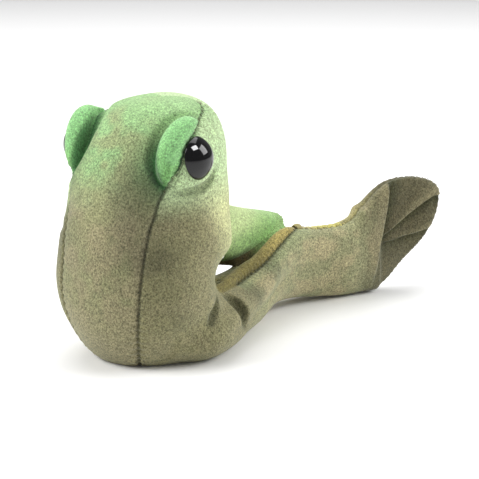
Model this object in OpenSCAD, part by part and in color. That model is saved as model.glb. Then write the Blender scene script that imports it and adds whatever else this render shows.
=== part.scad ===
/* [Body] */
// Height of the seated body from the surface to the crown
body_h = 83; // [80:0.5:86]
// Thickness of the plush fabric
skin_t = 1.2; // [1:0.1:1.4]
// Radius of the flat round seat underneath
seat_r = 12.6; // [11:0.2:12.6]
// Half the angle that the back panel spans, seen from above
back_half_angle = 40; // [34:1:46]
// Half the angle that the belly panel spans, seen from above
belly_half_angle = 44; // [38:1:48]

/* [Eyes] */
// Diameter of the glossy eye dome
eye_d = 13.5; // [12.5:0.1:14]
// Height of the dome above its flange
eye_h = 4.2; // [3.6:0.1:4.6]
// Radius of the eye's shank
shank_r = 2.2; // [2:0.1:2.4]
// Length of the eye's shank
shank_l = 10; // [9.5:0.5:11]
// Outer radius of the washer that locks the eye
washer_r = 4.2; // [3.6:0.1:4.4]
// Radius of the roll of the eyelid
lid_r = 3.6; // [3.2:0.1:4]

/* [Finger pocket] */
// Inside radius of the finger pocket
pocket_r = 9.2; // [8.6:0.1:9.4]
// Thickness of the pocket lining
lining_t = 0.9; // [0.7:0.1:1]

/* [Tail and sleeve] */
// Radius of the rolled hem on top of the tail
roll_r = 2.1; // [1.8:0.1:2.3]
// Thickness of the sleeve wall
sleeve_t = 1.2; // [1:0.1:1.4]
// Thickness of the fin's middle layer
fin_core_t = 1.8; // [1.2:0.1:2.2]

/* [Hidden] */

// Gap between neighbouring pieces of one body, and between two bodies
gap = 0.2;
joint_gap = 0.4;
big = 300;

// Body sections from the seat up: height, centre in X, half depth, half width
body_rows = [[0, 0, 14.1, 15.2], [3, 0, 18.6, 20], [8, 0, 22.5, 24.3], [16, 0.3, 25.4, 27.4],
             [30, 1, 26.5, 28.7], [45, 2.5, 25.8, 27.4], [58, 4, 24, 25.2], [66, 5.6, 22.1, 23],
             [73, 7.3, 18.9, 19.6], [78.5, 9, 14.2, 14.8], [82, 10.5, 8, 8.4], [83, 11, 0.5, 0.5]];
body_roundness = 2.2;

// The head turns on the surface of a barrel that lies across the body
nod_z = 24;
nod_r = 38;
nod_forward = 6;

// The tail's root turns on a smaller barrel at the front foot of the body
fold_x = 13.5;
fold_z = 11.5;
fold_r = 11.5;
belly_cut_z = 23.4;

// Tail sections from the body out: x, y, centre height, half width, half height, heading, lean
tail_rows = [[17, -5, 10.4, 18.5, 9.6, -4, 0.15], [29, -8, 10.2, 15.5, 10, -8, 0.5],
             [42, -9.8, 10.2, 12.4, 10.2, -7, 0.65], [55, -11.8, 12.6, 10, 12.2, -8, 0.45],
             [67, -14, 14.8, 9.3, 14.4, -20, 0.3], [78, -19, 13.8, 9, 13.6, -33, 0.2],
             [88, -26, 12.8, 8.2, 12.6, -37, 0.1], [96, -31.6, 15.2, 6, 14.8, -35, 0],
             [103, -36.4, 19.6, 4, 19.2, -35, 0]];
tail_roundness = 2.3;
wag_at = [66, -13.6];
wag_r = 11;
fin_at = [101, -35];
fin_hinge_r = 5.2;
fin_heading = -35;

// Route of the rolled hem along the ridge of the tail
roll_route = [[30.5, -16.6, 18.6], [36, -16.8, 19.6], [43, -17, 22], [50, -17, 25],
              [57, -17, 28], [63, -17.2, 29.6], [68, -17.6, 29.8]];

// Outline of the fin in its own plane: distance along the fin, height
fin_outline = [[3, 3], [10, 1.2], [15, 6.4], [24.5, 15.8], [28.8, 22.4], [31.8, 30],
               [32.2, 36.4], [28, 40.4], [21, 42], [15, 42.2], [9.6, 40.8], [5.6, 37.6], [3, 34]];

// Eye: centre of the flange and the angle that it looks up by
eye_at = [-0.6, -23.6, 67.5];
eye_up = 8;
// How far the roll of the eyelid sinks below the eye's flange
lid_sink = -2;
// Where the washer sits on the shank, and its thickness
washer_at = -8.2;
washer_t = 1.4;

// Belly opening: where the pocket starts and how far it leans
pocket_foot = [28, 0, 34];
pocket_top = [7, 0, 60];
pocket_dome_z = 68;

// Sleeve: round root at the belly, oval rim that faces down and forward
sleeve_root = [28.6, 0, 34.6];
sleeve_root_w = 10.9;
sleeve_root_h = 10.3;
// How fast the sleeve's root falls back with the round of the belly
belly_bend = 0.018;
sleeve_rim = [56.5, 0, 26];
sleeve_rim_w = 12.3;
sleeve_rim_l = 20.6;
sleeve_rim_tilt = 15;
hem_start = 0.9;

// Signed power that turns a circle into a rounder or squarer oval
function oval(c, n) = sign(c) * pow(abs(c), 2 / n);

// Smooth curve through rows of numbers
function curve4(a, b, c, d, t) =
    0.5 * (2 * b + (c - a) * t + (2 * a - 5 * b + 4 * c - d) * t * t
           + (3 * b - a - 3 * c + d) * t * t * t);
function row_at(rows, u) =
    let (last = len(rows) - 1, i = min(floor(u), last - 1))
    curve4(rows[max(i - 1, 0)], rows[i], rows[i + 1], rows[min(i + 2, last)], u - i);

// A point on the body at a section, angle and depth below the surface
function body_point(u, a, depth) =
    let (r = row_at(body_rows, u), s = body_h / body_rows[len(body_rows) - 1][0])
    [r[1] + max(r[2] - depth, 0.3) * oval(cos(a), body_roundness),
     max(r[3] - depth, 0.3) * oval(sin(a), body_roundness),
     depth + r[0] * s * (1 - 2 * depth / body_h)];

// A point on the tail, where angle 0 is its left side and 90 its top
function tail_point(u, a, depth) =
    let (r = row_at(tail_rows, u), up = (r[4] - depth) * oval(sin(a), tail_roundness),
         side = (r[3] - depth) * oval(cos(a), tail_roundness) - r[6] * max(up, 0))
    [r[0] - side * sin(r[5]), r[1] + side * cos(r[5]), r[2] + up];

// A point on the sleeve between its root (u = 0) and its rim (u = 1)
function sleeve_point(u, a, depth) =
    let (tilt = sleeve_rim_tilt,
         half_w = (sleeve_root_w - depth) * cos(a),
         root = sleeve_root + [-half_w * half_w * belly_bend, half_w, (sleeve_root_h - depth) * sin(a)],
         rim = sleeve_rim + [(sleeve_rim_l - depth) * sin(a) * cos(tilt),
                             (sleeve_rim_w - depth) * cos(a),
                             (sleeve_rim_l - depth) * sin(a) * sin(tilt)])
    root + (rim - root) * u;

// Triangles over a grid of rows by columns whose first point has index k
function grid_faces(rows, cols, k, flip) =
    [for (i = [0:rows - 2], j = [0:cols - 2])
     let (p = k + i * cols + j, q = p + cols)
     each flip ? [[p, q, p + 1], [q, q + 1, p + 1]] : [[p, p + 1, q], [q, p + 1, q + 1]]];

// Triangles of the strip between two lists of indices
function strip_faces(a, b) =
    [for (i = [0:len(a) - 2]) each [[a[i], a[i + 1], b[i]], [b[i], a[i + 1], b[i + 1]]]];

// A panel: an outer and an inner grid of points, closed along its four edges
module panel(outer, inner) {
    rows = len(outer);
    cols = len(outer[0]);
    n = rows * cols;
    top = (rows - 1) * cols;
    first_row = [for (j = [0:cols - 1]) j];
    last_row = [for (j = [0:cols - 1]) top + j];
    first_col = [for (i = [0:rows - 1]) i * cols];
    last_col = [for (i = [0:rows - 1]) i * cols + cols - 1];
    shift = [for (j = [0:max(rows, cols)]) n];
    polyhedron(
        points = [for (r = outer) each r, for (r = inner) each r],
        faces = concat(
            grid_faces(rows, cols, 0, true), grid_faces(rows, cols, n, false),
            strip_faces(first_row, [for (i = first_row) i + n]),
            strip_faces([for (i = last_row) i + n], last_row),
            strip_faces([for (i = first_col) i + n], first_col),
            strip_faces(last_col, [for (i = last_col) i + n])));
}

// A solid through closed rings of points, with flat ends
module solid(rings) {
    rows = len(rings);
    cols = len(rings[0]);
    last = (rows - 1) * cols;
    polyhedron(
        points = [for (r = rings) each r],
        faces = concat(
            [for (i = [0:rows - 2], j = [0:cols - 1])
             let (p = i * cols + j, q = i * cols + (j + 1) % cols)
             each [[p, p + cols, q], [q, p + cols, q + cols]]],
            [[for (j = [0:cols - 1]) j]],
            [[for (j = [cols - 1:-1:0]) last + j]]));
}

// Rows of points from one function of section, angle and depth
function grid(point, us, angles, depth) =
    [for (u = us) [for (a = angles) point(u, a, depth)]];
function steps(from, to, count) = [for (i = [0:count]) from + (to - from) * i / count];
function ring_angles(count) = [for (i = [0:count - 1]) 360 * i / count];

// Sections used along the body and along each stretch of the tail
body_us = steps(0, len(body_rows) - 1, 22);
root_us = steps(0, 5, 10);
tip_us = steps(3.6, 8, 10);

body_surface = function(u, a, d) body_point(u, a, d);
tail_surface = function(u, a, d) tail_point(u, a, d);
sleeve_surface = function(u, a, d) sleeve_point(u, a, d);

module skin(surface, us, from, to, thick, count) {
    angles = steps(from, to, count);
    panel(grid(surface, us, angles, 0), grid(surface, us, angles, thick));
}

module filling(surface, us, depth, count) {
    solid(grid(surface, us, ring_angles(count), depth));
}

module barrel(x, z, r) {
    translate([x, 0, z]) rotate([90, 0, 0]) cylinder(h = big, r = r, center = true, $fn = 96);
}

// Room in front of and below the belly that belongs to the tail
module tail_room(r) {
    difference() {
        translate([fold_x, -big / 2, -big / 2]) cube([big, big, big / 2 + belly_cut_z]);
        barrel(fold_x, fold_z, r);
    }
}

module base_part() {
    difference() {
        intersection() {
            children();
            barrel(0, nod_z, nod_r);
        }
        tail_room(fold_r);
    }
}

module head_part() {
    difference() {
        intersection() {
            children();
            translate([-big / 2, -big / 2, nod_z]) cube([big, big, big]);
        }
        barrel(0, nod_z, nod_r + joint_gap);
    }
}

module at_eye(side) {
    mirror([0, side > 0 ? 1 : 0, 0])
        translate(eye_at) rotate([90 - eye_up, 0, 0]) children();
}

// Roll of the eyelid: an arc above and behind the eye
module lid_roll(r) {
    translate([0, 0, lid_sink]) rotate([0, 0, 30]) rotate_extrude(angle = 170, $fn = 64)
        translate([eye_d / 2 + lid_r + gap, 0]) circle(r, $fn = 32);
}

// Space taken from the head by the eyes, their washers and the eyelids
module eye_spaces() {
    for (side = [-1, 1]) at_eye(side) {
        translate([0, 0, -0.05]) cylinder(h = 30, r = eye_d / 2 + gap, $fn = 64);
        translate([0, 0, -shank_l - 1]) cylinder(h = shank_l + 2, r = shank_r + gap, $fn = 48);
        lid_roll(lid_r + gap);
    }
}

module washer_spaces() {
    for (side = [-1, 1]) at_eye(side)
        translate([0, 0, washer_at - 0.6]) cylinder(h = 8, r = washer_r + 0.4, $fn = 64);
}

// Space swept by the lower edges of the eyes when the head nods forward
module eye_sweeps() {
    for (side = [-1, 1], turn = [0:2:nod_forward])
        translate([0, 0, nod_z]) rotate([0, turn, 0]) translate([0, 0, -nod_z]) at_eye(side)
            translate([0, 0, -2]) cylinder(h = 16, r = eye_d / 2 + gap + 0.1, $fn = 32);
}

module pocket_axis(r) {
    run = pocket_top - pocket_foot;
    translate(pocket_foot - run * 0.2)
        rotate([0, atan2(run[0], run[2]), 0]) cylinder(h = norm(run) * 1.6, r = r, $fn = 72);
}

module head_pocket(r, below) {
    translate([pocket_top[0], 0, pocket_top[2] - below])
        cylinder(h = pocket_dome_z - pocket_top[2] + below, r = r, $fn = 72);
    translate([pocket_top[0], 0, pocket_dome_z]) sphere(r, $fn = 72);
}

module body_panel(from, to, count) {
    skin(body_surface, body_us, from, to, skin_t, count);
}

// ---- base of the body

module seat_panel() {
    color("darkkhaki") base_part() cylinder(h = 1.6, r = seat_r, $fn = 96);
}

module back_panel() {
    color("olivedrab") base_part()
        body_panel(180 - back_half_angle + 0.3, 180 + back_half_angle - 0.3, 10);
}

module right_flank() {
    color("darkolivegreen") difference() {
        base_part() body_panel(180 + back_half_angle + 0.3, 360 - belly_half_angle - 0.3, 12);
        eye_sweeps();
    }
}

module left_flank() {
    color("darkolivegreen") difference() {
        base_part() body_panel(belly_half_angle + 0.3, 180 - back_half_angle - 0.3, 12);
        eye_sweeps();
    }
}

module belly_panel() {
    color("khaki") difference() {
        base_part() body_panel(0.3 - belly_half_angle, belly_half_angle - 0.3, 12);
        pocket_axis(pocket_r + lining_t + gap);
    }
}

module body_stuffing() {
    color("white") difference() {
        base_part() intersection() {
            filling(body_surface, body_us, skin_t + gap, 40);
            translate([-big / 2, -big / 2, 1.8]) cube(big);
        }
        pocket_axis(pocket_r + lining_t + gap);
        washer_spaces();
    }
}

module lower_pocket() {
    color("wheat") difference() {
        base_part() intersection() {
            pocket_axis(pocket_r + lining_t);
            filling(body_surface, body_us, 0.1, 40);
        }
        pocket_axis(pocket_r);
    }
}

// ---- head

module crown_panel() {
    color("yellowgreen") difference() {
        head_part() body_panel(180 - back_half_angle + 0.3, 180 + back_half_angle - 0.3, 10);
        eye_spaces();
    }
}

module right_cheek() {
    color("yellowgreen") difference() {
        head_part() body_panel(180 + back_half_angle + 0.3, 360 - belly_half_angle - 0.3, 12);
        eye_spaces();
        washer_spaces();
    }
}

module left_cheek() {
    color("yellowgreen") difference() {
        head_part() body_panel(belly_half_angle + 0.3, 180 - back_half_angle - 0.3, 12);
        eye_spaces();
        washer_spaces();
    }
}

module throat_panel() {
    color("khaki") head_part()
        body_panel(0.3 - belly_half_angle, belly_half_angle - 0.3, 12);
}

module head_stuffing() {
    color("white") difference() {
        head_part() filling(body_surface, body_us, skin_t + gap, 40);
        eye_spaces();
        washer_spaces();
        head_pocket(pocket_r + lining_t + gap, 20);
    }
}

module upper_pocket() {
    color("wheat") difference() {
        head_part() head_pocket(pocket_r + lining_t, 20);
        head_pocket(pocket_r, 21);
    }
}

module right_eyelid() {
    color("lightgreen") at_eye(-1) lid_roll(lid_r);
}

module left_eyelid() {
    color("lightgreen") at_eye(1) lid_roll(lid_r);
}

// Dome, flange and shank in one turned piece
module eye() {
    r = eye_d / 2;
    ball = (r * r + eye_h * eye_h) / (2 * eye_h);
    arc = [for (a = steps(0, asin(r / ball), 12)) [ball * sin(a), eye_h - ball + ball * cos(a)]];
    rotate_extrude($fn = 72) polygon(concat(
        [[0, eye_h]], [for (i = [1:len(arc) - 1]) arc[i]],
        [[r, 0], [shank_r, 0], [shank_r, -shank_l], [0, -shank_l]]));
}

module right_eye() { color("black") at_eye(-1) eye(); }
module left_eye() { color("black") at_eye(1) eye(); }

module eye_washer() {
    translate([0, 0, washer_at]) difference() {
        cylinder(h = washer_t, r = washer_r, $fn = 64);
        translate([0, 0, -1]) cylinder(h = 4, r = shank_r + 0.05, $fn = 48);
    }
}

module right_eye_washer() { color("dimgray") at_eye(-1) eye_washer(); }
module left_eye_washer() { color("dimgray") at_eye(1) eye_washer(); }

// ---- finger sleeve

module sleeve_tube(from, to, outer, inner, count) {
    difference() {
        solid(grid(sleeve_surface, steps(from, to, count), ring_angles(40), outer));
        solid(grid(sleeve_surface, steps(from - 0.1, to + 0.1, count), ring_angles(40), inner));
    }
}

module finger_sleeve() {
    color("yellowgreen") sleeve_tube(0.02, hem_start - 0.01, 0, sleeve_t, 6);
}

module sleeve_lining() {
    color("wheat") sleeve_tube(0.02, 0.98, sleeve_t + 0.1, sleeve_t + 0.1 + lining_t, 6);
}

module sleeve_hem() {
    color("saddlebrown") sleeve_tube(hem_start, 1, 0, sleeve_t, 2);
}

// ---- tail

module tail_panel(us, from, to, count) {
    skin(tail_surface, us, from, to, skin_t, count);
}

module ahead_of(at, heading, shift) {
    translate([at[0], at[1], -big / 2]) rotate([0, 0, heading])
        translate([shift, -big / 2, 0]) cube([big, big, big]);
}

module post(at, r) {
    translate([at[0], at[1], -big / 2]) cylinder(h = big, r = r, $fn = 72);
}

module root_part() {
    difference() {
        children();
        barrel(fold_x, fold_z, fold_r + joint_gap);
        translate([-big, -big / 2, -big / 2]) cube([big + fold_x, big, big]);
        translate([-big / 2, -big / 2, belly_cut_z - joint_gap]) cube([big / 2 + 29.5, big, big]);
        difference() {
            ahead_of(wag_at, -18, 0);
            post(wag_at, wag_r);
        }
    }
}

module tip_part() {
    difference() {
        intersection() {
            children();
            ahead_of(wag_at, -18, 0.5);
        }
        post(wag_at, wag_r + joint_gap);
        difference() {
            ahead_of(fin_at, fin_heading, 0);
            post(fin_at, fin_hinge_r);
        }
    }
}

// Swept tube for the rolled hem
module hem_tube(r) {
    us = steps(0, len(roll_route) - 1, 24);
    solid([for (u = us)
        let (c = row_at(roll_route, u)) [for (a = ring_angles(12)) c + [0, r * cos(a), r * sin(a)]]]);
}

// Stitched knot that closes the end of the rolled hem
module hem_knot(r, from, to) {
    translate(roll_route[len(roll_route) - 1] + [0.9, 0, 0]) rotate([0, 90, -20])
        translate([0, 0, from]) cylinder(h = to - from, r = r, $fn = 32);
}

module hem_space() {
    hem_tube(roll_r + gap);
    hem_knot(roll_r, -0.2, 2);
}

module tail_root_right_panel() {
    color("darkolivegreen") difference() {
        root_part() tail_panel(root_us, 110, 269, 14);
        hem_space();
    }
}

module tail_root_left_panel() {
    color("darkolivegreen") root_part() tail_panel(root_us, 271, 429, 14);
}

module tail_root_top_strip() {
    color("khaki") difference() {
        root_part() tail_panel(root_us, 71, 109, 5);
        hem_space();
    }
}

module tail_root_stuffing() {
    color("white") difference() {
        root_part() filling(tail_surface, root_us, skin_t + gap, 32);
        hem_space();
    }
}

module tail_hem_roll() {
    color("goldenrod") hem_tube(roll_r);
}

module tail_bartack() {
    color("goldenrod") hem_knot(roll_r * 0.8, 0, 1.6);
}

module tail_tip_right_panel() {
    color("darkolivegreen") tip_part() tail_panel(tip_us, 100, 269, 14);
}

module tail_tip_left_panel() {
    color("darkolivegreen") tip_part() tail_panel(tip_us, 271, 439, 14);
}

module tail_tip_top_strip() {
    color("khaki") tip_part() tail_panel(tip_us, 81, 99, 4);
}

module tail_tip_stuffing() {
    color("white") tip_part() filling(tail_surface, tip_us, skin_t + gap, 32);
}

// ---- fin

module behind_fin_hinge() {
    translate([fin_at[0], fin_at[1], -big / 2]) rotate([0, 0, fin_heading])
        translate([-big, -big / 2, 0]) cube(big);
}

module fin_layer(from, to) {
    difference() {
        translate([96, -31.6, 0]) rotate([90, 0, fin_heading])
            translate([0, 0, from]) linear_extrude(to - from) polygon(fin_outline);
        post(fin_at, fin_hinge_r + joint_gap);
        behind_fin_hinge();
    }
}

module fin_core() {
    color("white") fin_layer(-fin_core_t / 2, fin_core_t / 2);
}

module fin_right_face() {
    color("darkolivegreen") fin_layer(fin_core_t / 2 + 0.1, fin_core_t / 2 + 0.1 + skin_t);
}

module fin_left_face() {
    color("darkkhaki") fin_layer(-fin_core_t / 2 - 0.1 - skin_t, -fin_core_t / 2 - 0.1);
}

seat_panel();
back_panel();
right_flank();
left_flank();
belly_panel();
body_stuffing();
lower_pocket();
crown_panel();
right_cheek();
left_cheek();
throat_panel();
head_stuffing();
upper_pocket();
right_eyelid();
left_eyelid();
right_eye();
left_eye();
right_eye_washer();
left_eye_washer();
finger_sleeve();
sleeve_lining();
sleeve_hem();
tail_root_right_panel();
tail_root_left_panel();
tail_root_top_strip();
tail_root_stuffing();
tail_hem_roll();
tail_bartack();
tail_tip_right_panel();
tail_tip_left_panel();
tail_tip_top_strip();
tail_tip_stuffing();
fin_right_face();
fin_left_face();
fin_core();
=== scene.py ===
import itertools
import math
import bpy
import numpy as np
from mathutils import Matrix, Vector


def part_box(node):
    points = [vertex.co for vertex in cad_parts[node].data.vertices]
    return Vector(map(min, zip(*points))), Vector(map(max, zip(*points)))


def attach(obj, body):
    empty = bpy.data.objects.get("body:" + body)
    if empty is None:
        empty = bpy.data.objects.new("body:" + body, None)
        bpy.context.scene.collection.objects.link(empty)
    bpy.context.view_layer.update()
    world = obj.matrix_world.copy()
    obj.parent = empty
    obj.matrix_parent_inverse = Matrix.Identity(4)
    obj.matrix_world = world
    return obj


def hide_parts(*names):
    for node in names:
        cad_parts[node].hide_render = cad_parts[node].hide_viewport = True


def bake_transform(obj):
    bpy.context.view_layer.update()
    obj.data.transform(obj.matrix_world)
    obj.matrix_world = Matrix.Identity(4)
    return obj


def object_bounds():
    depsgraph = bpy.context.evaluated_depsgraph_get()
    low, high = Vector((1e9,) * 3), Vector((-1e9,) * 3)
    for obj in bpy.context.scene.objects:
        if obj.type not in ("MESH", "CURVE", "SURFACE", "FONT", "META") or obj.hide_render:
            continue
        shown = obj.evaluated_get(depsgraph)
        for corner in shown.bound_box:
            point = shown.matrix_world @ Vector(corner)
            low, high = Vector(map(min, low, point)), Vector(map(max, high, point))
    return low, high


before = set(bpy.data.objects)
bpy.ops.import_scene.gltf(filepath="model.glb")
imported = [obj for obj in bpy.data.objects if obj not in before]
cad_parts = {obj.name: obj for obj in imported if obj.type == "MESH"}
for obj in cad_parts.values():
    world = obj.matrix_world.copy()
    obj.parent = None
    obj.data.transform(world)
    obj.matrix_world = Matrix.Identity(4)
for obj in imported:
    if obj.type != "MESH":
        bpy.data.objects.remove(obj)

import openvdb as vdb
from mathutils import Matrix, Vector

cad_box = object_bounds()

# Shapes are worked out in millimetres, and become metres when a mesh is made.
MM = 0.001
# The step of the grid, and the thickness of the cloth
VOXEL = 0.45
SKIN = 2.2


def node_box(node):
    """Lowest and highest corner of a CAD node in millimetres."""
    low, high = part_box(node)
    return np.array(low) / MM, np.array(high) / MM


# ---- places taken from the frame

eye_low, eye_high = node_box("right_eye")
seat_low, seat_high = node_box("seat_panel")
TOP = node_box("crown_panel")[1][2]
SEAT_R = (seat_high[0] - seat_low[0]) / 2
EYE_R = (eye_high[0] - eye_low[0]) / 2
# Height of the eye's dome, and how far the eye looks up
EYE_H = 4.2
EYE_UP = math.radians(8)
EYE_SIDE = -eye_low[1] - EYE_H * math.cos(EYE_UP)
EYE = np.array([(eye_low[0] + eye_high[0]) / 2, 0.0, eye_high[2] - EYE_R * math.cos(EYE_UP)])

# ---- the shared grid

MARGIN = 6
GRID_LOW = np.array(cad_box[0]) / MM - MARGIN
GRID_HIGH = np.array(cad_box[1]) / MM + MARGIN
GRID_SHAPE = tuple(int(n) for n in np.ceil((GRID_HIGH - GRID_LOW) / VOXEL) + 1)
X, Y, Z = [
    (GRID_LOW[i] + VOXEL * np.arange(GRID_SHAPE[i], dtype=np.float32)).reshape(
        [-1 if i == j else 1 for j in range(3)]
    )
    for i in range(3)
]


def smooth_min(a, b, k):
    """The smaller of a and b, rounded over where they are within k of each other."""
    h = np.maximum(k - np.abs(a - b), 0)
    return np.minimum(a, b) - h * h / (4 * k)


def smooth_max(a, b, k):
    return -smooth_min(-a, -b, k)


def ramp(value, start, stop):
    """0 before start, 1 after stop, and a smooth rise between them."""
    t = np.clip((value - start) / (stop - start), 0, 1)
    return t * t * (3 - 2 * t)


def along(stops, values, at):
    """Values at stops, joined by a smooth curve and read at any place."""
    stops, values = np.asarray(stops, float), np.asarray(values, float)
    slope = np.gradient(values, stops)
    at = np.clip(at, stops[0], stops[-1])
    i = np.clip(np.searchsorted(stops, at, "right") - 1, 0, len(stops) - 2)
    width = stops[i + 1] - stops[i]
    t = (at - stops[i]) / width
    a = (2 * t**3 - 3 * t**2 + 1) * values[i] + (t**3 - 2 * t**2 + t) * slope[i] * width
    b = (3 * t**2 - 2 * t**3) * values[i + 1] + (t**3 - t**2) * slope[i + 1] * width
    return a + b


def curve(points, count):
    """A smooth curve of count points through a few rows of numbers."""
    points = np.asarray(points, float)
    stops = np.arange(len(points))
    at = np.linspace(0, len(points) - 1, count)
    return np.stack([along(stops, points[:, i], at) for i in range(points.shape[1])], 1)


def power(c, n):
    """Part of a rounded box's outline, from the sine or cosine of an angle."""
    return np.sign(c) * np.abs(c) ** (2 / n)


def steady(field):
    """Makes a shape function into a distance near its surface."""
    gx, gy, gz = np.gradient(field, VOXEL)
    return field / np.maximum(np.sqrt(gx * gx + gy * gy + gz * gz), 1e-3)


def rope(x, y, z, path):
    """Distance to a rope through rows of x, y, z, radius."""
    best = None
    for a, b in zip(path[:-1], path[1:]):
        d = b[:3] - a[:3]
        px, py, pz = x - a[0], y - a[1], z - a[2]
        t = np.clip((px * d[0] + py * d[1] + pz * d[2]) / max(d @ d, 1e-9), 0, 1)
        far = np.sqrt((px - t * d[0]) ** 2 + (py - t * d[1]) ** 2 + (pz - t * d[2]) ** 2)
        far -= a[3] + (b[3] - a[3]) * t
        best = far if best is None else np.minimum(best, far)
    return best


class Patch:
    """The part of the grid round some points, for shapes that are small."""

    def __init__(self, points, reach):
        low = np.floor((np.min(points, 0) - reach - GRID_LOW) / VOXEL).astype(int)
        high = np.ceil((np.max(points, 0) + reach - GRID_LOW) / VOXEL).astype(int)
        low, high = np.maximum(low, 0), np.minimum(high, GRID_SHAPE)
        self.cells = tuple(slice(a, b) for a, b in zip(low, high))
        self.x = X[self.cells[0]]
        self.y = Y[:, self.cells[1]]
        self.z = Z[:, :, self.cells[2]]


def rope_patch(path, soft, count):
    """Cells of the grid near rows of x, y, z, radius, and their distance to that rope."""
    path = curve(path, count)
    patch = Patch(path[:, :3], path[:, 3].max() + soft + 1)
    return patch.cells, rope(patch.x, patch.y, patch.z, path).astype(np.float32)


def press(field, path, soft, count=24):
    """Presses a groove into the field."""
    cells, groove = rope_patch(path, soft, count)
    field[cells] = smooth_max(field[cells], -groove, soft)


def add(field, path, soft, count=24):
    """Adds a padded roll to the field."""
    cells, roll = rope_patch(path, soft, count)
    field[cells] = smooth_min(field[cells], roll, soft)


def ring_quads(rows, cols):
    """The numbers of points in closed rings, row by row, and the quads between the rings."""
    k = np.arange(rows * cols).reshape(rows, cols)
    right = np.roll(k, -1, 1)
    return k, np.stack([k[:-1], right[:-1], right[1:], k[1:]], -1).reshape(-1, 4)


def loft_field(rings, reach=7.0):
    """Distance to the closed solid through rings of points."""
    rows, cols = rings.shape[:2]
    ends = [rings[0].mean(0)[None], rings[-1].mean(0)[None]]
    points = np.concatenate([rings.reshape(-1, 3), *ends])
    k, quads = ring_quads(rows, cols)
    right = np.roll(k, -1, 1)
    foot = np.stack([right[0], k[0], np.full(cols, rows * cols)], -1)
    head = np.stack([k[-1], right[-1], np.full(cols, rows * cols + 1)], -1)
    grid = vdb.FloatGrid.createLevelSetFromPolygons(
        ((points - GRID_LOW) / VOXEL).astype(np.float32),
        triangles=np.concatenate([foot, head]).astype(np.uint32),
        quads=quads.astype(np.uint32),
        transform=vdb.createLinearTransform(voxelSize=1.0),
        halfWidth=reach / VOXEL,
    )
    field = np.empty(GRID_SHAPE, np.float32)
    grid.copyToArray(field)
    return field * VOXEL


# ---- body and head

BODY_STOPS = [0, 6, 10, 16, 22, 30, 40, 47, 58, 68, 76, 84]
BODY_WIDTH = [28, 27, 27.4, 28.2, 28.4, 28.2, 28, 26.4, 25.8, 25.8, 26, 26]
BODY_DEPTH = [27, 26.8, 27, 27.2, 27, 26.6, 26.4, 26.4, 26.2, 26.4, 26.6, 26.6]
BODY_CENTRE = [0.2, 0.2, 0.4, 0.8, 1, 1.6, 3.2, 4.6, 6.2, 8.8, 11, 13]
# Height where the upper and lower halves meet, and how far under the floor the lower one would end
WAIST = 34.0
BELOW = 4.2
# Depth of the uneven filling
LUMP = 0.22
# Powers of the rounded outline: round the body, towards the crown and towards the seat
ROUND_XY, ROUND_UP, ROUND_DOWN = 2.05, 3.1, 2.4


def centre_x(z):
    """How far forwards the middle of the body is at a height."""
    return along(BODY_STOPS, BODY_CENTRE, z)


def body_field():
    """Distance to the body and head, without their creases."""
    level = Z.ravel()
    depth, width, centre = [
        along(BODY_STOPS, v, level).astype(np.float32).reshape(Z.shape)
        for v in (BODY_DEPTH, BODY_WIDTH, BODY_CENTRE)
    ]
    n = ROUND_XY
    round_xy = (np.abs((X - centre) / depth) ** n + np.abs(Y / width) ** n) ** (1 / n)
    up = np.clip((Z - WAIST) / (TOP - WAIST), 0, None)
    down = np.clip((WAIST - Z) / (WAIST + BELOW), 0, None)
    shape = np.where(
        Z > WAIST,
        (round_xy**ROUND_UP + up**ROUND_UP) ** (1 / ROUND_UP),
        (round_xy**ROUND_DOWN + down**ROUND_DOWN) ** (1 / ROUND_DOWN),
    )
    # Soft uneven filling
    lumps = np.sin(Y / 4.3 + np.sin(Z / 9) * 1.6) * np.sin(Z / 6.1 + X / 7)
    lumps = lumps + 0.6 * np.sin(X / 3.7 - Z / 5.3 + 1)
    return (steady((shape - 1).astype(np.float32)) + LUMP * lumps * ramp(Z, 3, 14)).astype(np.float32)


# ---- eyes: places from the eye, as forwards, upwards and outwards

def eye_place(side, u, v, w):
    up, out = math.cos(EYE_UP), math.sin(EYE_UP)
    return np.array([EYE[0] + u, side * (EYE_SIDE + w * up - v * out), EYE[2] + v * up + w * out])


# Rows of angle round the eye from forwards, distance from its centre, distance outwards, radius
LID = [
    [60, 12.2, -3.8, 0.9],
    [76, 10.8, -2.8, 1.9],
    [92, 10.0, -2.9, 3.1],
    [112, 9.1, -3.5, 3.7],
    [143, 8.1, -4.7, 3.9],
    [178, 8.2, -5.8, 3.6],
    [203, 9.3, -6.4, 2.6],
    [214, 10.6, -6.0, 1.1],
]
LID_GROOVE = [
    [58, 15.0, -6.0, 0.5],
    [72, 13.4, -7.2, 0.9],
    [92, 11.6, -8.5, 1.6],
    [119, 10.0, -9.4, 2.1],
    [143, 9.6, -9.4, 2.2],
    [168, 10.1, -9.4, 2.1],
    [190, 11.2, -8.8, 1.6],
    [208, 12.0, -7.6, 0.8],
]
BAG_CREASE = [
    [216, 13.4, -6.0, 0.3],
    [230, 12.2, -4.2, 0.8],
    [243, 11.0, -2.8, 1.2],
    [259, 10.0, -1.6, 1.3],
    [281, 9.5, -0.7, 1.3],
    [306, 9.5, -0.2, 1.1],
    [326, 9.6, -0.1, 0.4],
]
MOUND_FLAT, MOUND_ROUND = 4.3, 4.6


def round_eye(side, rows):
    path = []
    for angle, far, out, r in rows:
        a = math.radians(angle)
        path.append([*eye_place(side, far * math.cos(a), far * math.sin(a), out), r])
    return path


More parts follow.
